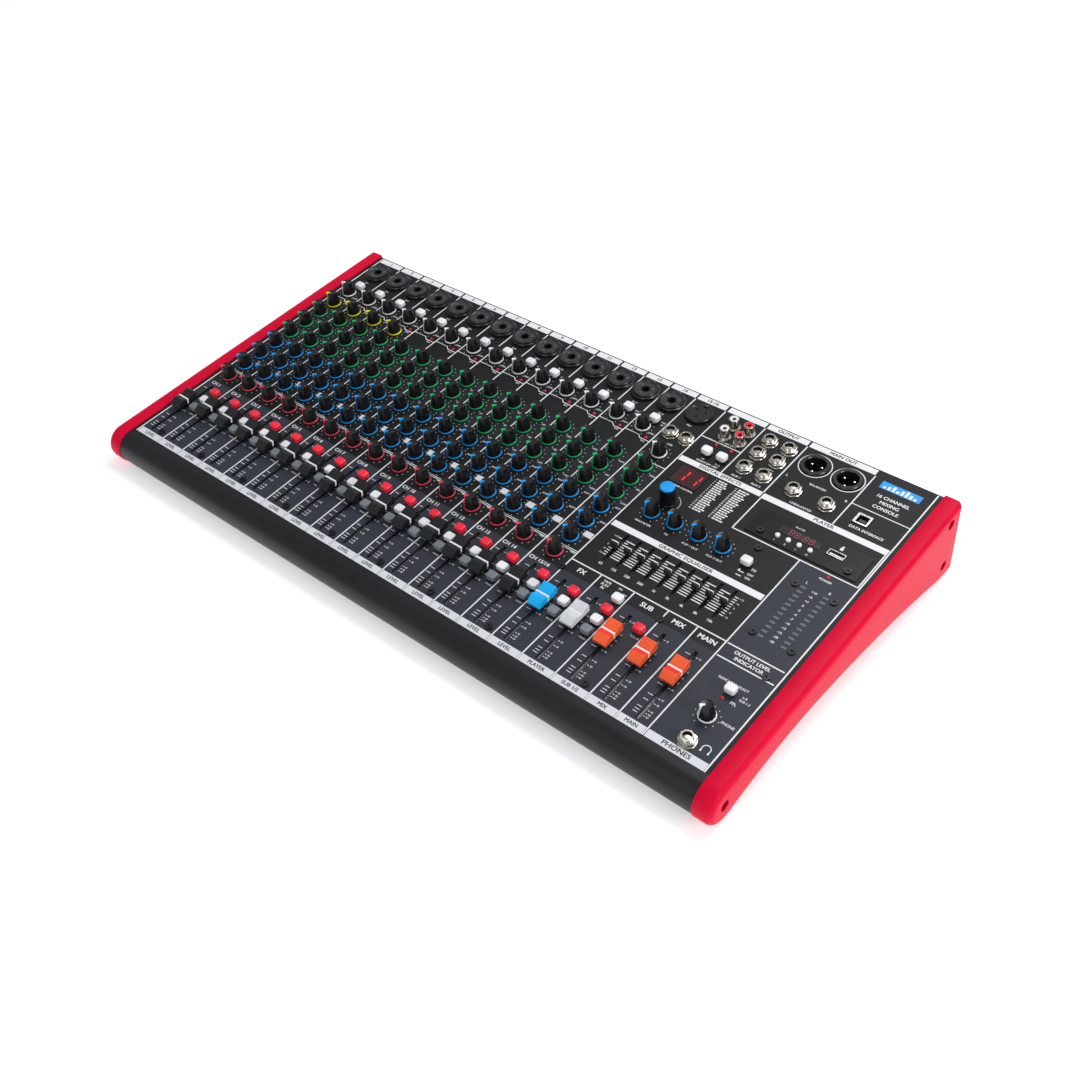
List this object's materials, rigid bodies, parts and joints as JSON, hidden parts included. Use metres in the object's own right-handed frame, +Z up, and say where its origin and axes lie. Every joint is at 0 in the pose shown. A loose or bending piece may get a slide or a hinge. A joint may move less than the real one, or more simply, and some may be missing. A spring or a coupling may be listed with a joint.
{
  "type": "mixing console",
  "caption": "Sloping audio mixing console with channel faders, rotary controls, push-buttons, rear connectors and side cheeks.",
  "frame": {"origin": "on the table, at the bottom centre of the console's outer box", "axes": "+X to the right along the faders, +Y to the back, up the slope, +Z up"},
  "size_m": [0.6144, 0.3238, 0.0754],
  "materials": {
    "panel_paint": "satin black powder coat with white and grey print",
    "roll_paint": "satin black paint",
    "tray_paint": "matt black paint",
    "cheek_red": "satin red moulding",
    "screw_black": "blackened steel",
    "foot_rubber": "matt rubber",
    "board_green": "green solder mask",
    "pot_steel": "tinned steel",
    "switch_plastic": "moulded plastic",
    "socket_black": "glass-filled nylon",
    "socket_metal": "black plated shell",
    "nickel": "bright nickel plate",
    "bright_steel": "tin plated shell",
    "player_black": "gloss black moulding",
    "display_red": "dark red window with lit red digits",
    "lamp_clear": "milky lamp window",
    "transformer": "taped winding",
    "inlet_black": "moulded nylon",
    "knob_white": "black knob body, white pointer and skirt",
    "knob_green": "black knob body, green pointer and skirt",
    "knob_blue": "black knob body, blue pointer and skirt",
    "knob_red": "black knob body, red pointer and skirt",
    "knob_yellow": "black knob body, yellow pointer and skirt",
    "fader_black": "black moulding with a white line",
    "fader_blue": "blue moulding with a white line",
    "fader_white": "pale grey moulding with a white line",
    "fader_orange": "orange moulding with a white line",
    "switch_red": "gloss red moulding",
    "button_red": "satin red moulding",
    "button_grey": "satin grey moulding",
    "button_white": "satin white moulding"
  },
  "bodies": {
    "chassis": {"top_panel": "panel_paint", "front_roll": "roll_paint", "base_tray": "tray_paint", "left_cheek": "cheek_red", "right_cheek": "cheek_red", "cheek_screws": "screw_black", "panel_screws": "screw_black", "rubber_feet": "foot_rubber", "circuit_boards": "board_green", "slide_pots": "pot_steel", "rotary_pots": "pot_steel", "push_switches": "switch_plastic", "combo_sockets": "socket_black", "xlr_sockets": "socket_metal", "jack_sockets": "nickel", "jack_nuts": "nickel", "phono_sockets": "nickel", "usb_sockets": "bright_steel", "player_module": "player_black", "program_display": "display_red", "indicator_lamps": "lamp_clear", "power_supply": "transformer", "mains_inlet": "inlet_black", "gain_knobs": "knob_white", "tone_knobs": "knob_green", "aux_knobs": "knob_blue", "pan_knobs": "knob_red", "gate_knobs": "knob_yellow"},
    "fader_1": {"fader_1": "fader_black"},
    "fader_2": {"fader_2": "fader_black"},
    "fader_3": {"fader_3": "fader_black"},
    "fader_4": {"fader_4": "fader_black"},
    "fader_5": {"fader_5": "fader_black"},
    "fader_6": {"fader_6": "fader_black"},
    "fader_7": {"fader_7": "fader_black"},
    "fader_8": {"fader_8": "fader_black"},
    "fader_9": {"fader_9": "fader_black"},
    "fader_10": {"fader_10": "fader_black"},
    "fader_11": {"fader_11": "fader_black"},
    "fader_12": {"fader_12": "fader_black"},
    "fader_13": {"fader_13": "fader_black"},
    "fader_14": {"fader_14": "fader_black"},
    "fader_15": {"fader_15": "fader_black"},
    "fader_16": {"fader_16": "fader_blue"},
    "fader_17": {"fader_17": "fader_white"},
    "fader_18": {"fader_18": "fader_orange"},
    "fader_19": {"fader_19": "fader_orange"},
    "fader_20": {"fader_20": "fader_orange"},
    "eq_sliders": {"eq_sliders": "fader_black"},
    "effects_encoder": {"effects_encoder": "knob_blue"},
    "effects_knob_1": {"effects_knob_1": "knob_blue"},
    "effects_knob_2": {"effects_knob_2": "knob_blue"},
    "effects_knob_3": {"effects_knob_3": "knob_blue"},
    "effects_knob_4": {"effects_knob_4": "knob_blue"},
    "phones_knob": {"phones_knob": "knob_white"},
    "power_switch": {"power_switch": "switch_red"},
    "mute_buttons": {"mute_buttons": "button_red"},
    "route_buttons": {"route_buttons": "button_grey"},
    "white_buttons": {"white_buttons": "button_white"},
    "player_buttons": {"player_buttons": "button_white"}
  },
  "joints": [
    {"name": "fader_1_slide", "type": "slide", "parent": "chassis", "child": "fader_1", "axis": [0, 0.9925, 0.1219], "range_m": [-0.0332, 0.0254]},
    {"name": "fader_2_slide", "type": "slide", "parent": "chassis", "child": "fader_2", "axis": [0, 0.9925, 0.1219], "range_m": [-0.0377, 0.0209]},
    {"name": "fader_3_slide", "type": "slide", "parent": "chassis", "child": "fader_3", "axis": [0, 0.9925, 0.1219], "range_m": [-0.0377, 0.0209]},
    {"name": "fader_4_slide", "type": "slide", "parent": "chassis", "child": "fader_4", "axis": [0, 0.9925, 0.1219], "range_m": [-0.0377, 0.0209]},
    {"name": "fader_5_slide", "type": "slide", "parent": "chassis", "child": "fader_5", "axis": [0, 0.9925, 0.1219], "range_m": [-0.0377, 0.0209]},
    {"name": "fader_6_slide", "type": "slide", "parent": "chassis", "child": "fader_6", "axis": [0, 0.9925, 0.1219], "range_m": [-0.0377, 0.0209]},
    {"name": "fader_7_slide", "type": "slide", "parent": "chassis", "child": "fader_7", "axis": [0, 0.9925, 0.1219], "range_m": [-0.0377, 0.0209]},
    {"name": "fader_8_slide", "type": "slide", "parent": "chassis", "child": "fader_8", "axis": [0, 0.9925, 0.1219], "range_m": [-0.0342, 0.0244]},
    {"name": "fader_9_slide", "type": "slide", "parent": "chassis", "child": "fader_9", "axis": [0, 0.9925, 0.1219], "range_m": [-0.0377, 0.0209]},
    {"name": "fader_10_slide", "type": "slide", "parent": "chassis", "child": "fader_10", "axis": [0, 0.9925, 0.1219], "range_m": [-0.0377, 0.0209]},
    {"name": "fader_11_slide", "type": "slide", "parent": "chassis", "child": "fader_11", "axis": [0, 0.9925, 0.1219], "range_m": [-0.0377, 0.0209]},
    {"name": "fader_12_slide", "type": "slide", "parent": "chassis", "child": "fader_12", "axis": [0, 0.9925, 0.1219], "range_m": [-0.0415, 0.0171]},
    {"name": "fader_13_slide", "type": "slide", "parent": "chassis", "child": "fader_13", "axis": [0, 0.9925, 0.1219], "range_m": [-0.0377, 0.0209]},
    {"name": "fader_14_slide", "type": "slide", "parent": "chassis", "child": "fader_14", "axis": [0, 0.9925, 0.1219], "range_m": [-0.0377, 0.0209]},
    {"name": "fader_15_slide", "type": "slide", "parent": "chassis", "child": "fader_15", "axis": [0, 0.9925, 0.1219], "range_m": [-0.0377, 0.0209]},
    {"name": "fader_16_slide", "type": "slide", "parent": "chassis", "child": "fader_16", "axis": [0, 0.9925, 0.1219], "range_m": [-0.0377, 0.0209]},
    {"name": "fader_17_slide", "type": "slide", "parent": "chassis", "child": "fader_17", "axis": [0, 0.9925, 0.1219], "range_m": [-0.0377, 0.0209]},
    {"name": "fader_18_slide", "type": "slide", "parent": "chassis", "child": "fader_18", "axis": [0, 0.9925, 0.1219], "range_m": [-0.0377, 0.0209]},
    {"name": "fader_19_slide", "type": "slide", "parent": "chassis", "child": "fader_19", "axis": [0, 0.9925, 0.1219], "range_m": [-0.0377, 0.0209]},
    {"name": "fader_20_slide", "type": "slide", "parent": "chassis", "child": "fader_20", "axis": [0, 0.9925, 0.1219], "range_m": [-0.0377, 0.0209]},
    {"name": "eq_slide", "type": "slide", "parent": "chassis", "child": "eq_sliders", "axis": [0, 0.9925, 0.1219], "range_m": [-0.0115, 0.0115]},
    {"name": "effects_encoder_turn", "type": "hinge", "parent": "chassis", "child": "effects_encoder", "pos_m": [0.1298, 0.03577, 0.05349], "axis": [0, 0.1219, -0.9925], "continuous": true},
    {"name": "effects_knob_1_turn", "type": "hinge", "parent": "chassis", "child": "effects_knob_1", "pos_m": [0.1266, 0.01998, 0.05155], "axis": [0, 0.1219, -0.9925], "range_deg": [0, 300]},
    {"name": "effects_knob_2_turn", "type": "hinge", "parent": "chassis", "child": "effects_knob_2", "pos_m": [0.1476, 0.01998, 0.05155], "axis": [0, 0.1219, -0.9925], "range_deg": [0, 300]},
    {"name": "effects_knob_3_turn", "type": "hinge", "parent": "chassis", "child": "effects_knob_3", "pos_m": [0.1686, 0.01998, 0.05155], "axis": [0, 0.1219, -0.9925], "range_deg": [0, 300]},
    {"name": "effects_knob_4_turn", "type": "hinge", "parent": "chassis", "child": "effects_knob_4", "pos_m": [0.1896, 0.01998, 0.05155], "axis": [0, 0.1219, -0.9925], "range_deg": [0, 300]},
    {"name": "phones_knob_turn", "type": "hinge", "parent": "chassis", "child": "phones_knob", "pos_m": [0.2653, -0.10726, 0.03592], "axis": [0, 0.1219, -0.9925], "range_deg": [0, 300]},
    {"name": "power_rocker", "type": "hinge", "parent": "chassis", "child": "power_switch", "pos_m": [0.1897, 0.15524, 0.0339], "axis": [-1, 0, 0], "range_deg": [0, 20]},
    {"name": "mute_button_press", "type": "slide", "parent": "chassis", "child": "mute_buttons", "axis": [0, 0.1219, -0.9925], "range_m": [0, 0.002], "stiffness_N_per_m": 150, "springref_m": -0.002},
    {"name": "route_button_press", "type": "slide", "parent": "chassis", "child": "route_buttons", "axis": [0, 0.1219, -0.9925], "range_m": [0, 0.002], "stiffness_N_per_m": 150, "springref_m": -0.002},
    {"name": "white_button_press", "type": "slide", "parent": "chassis", "child": "white_buttons", "axis": [0, 0.1219, -0.9925], "range_m": [0, 0.002], "stiffness_N_per_m": 250, "springref_m": -0.002},
    {"name": "player_button_press", "type": "slide", "parent": "chassis", "child": "player_buttons", "axis": [0, 0.1219, -0.9925], "range_m": [0, 0.0005], "stiffness_N_per_m": 60, "springref_m": -0.001}
  ]
}
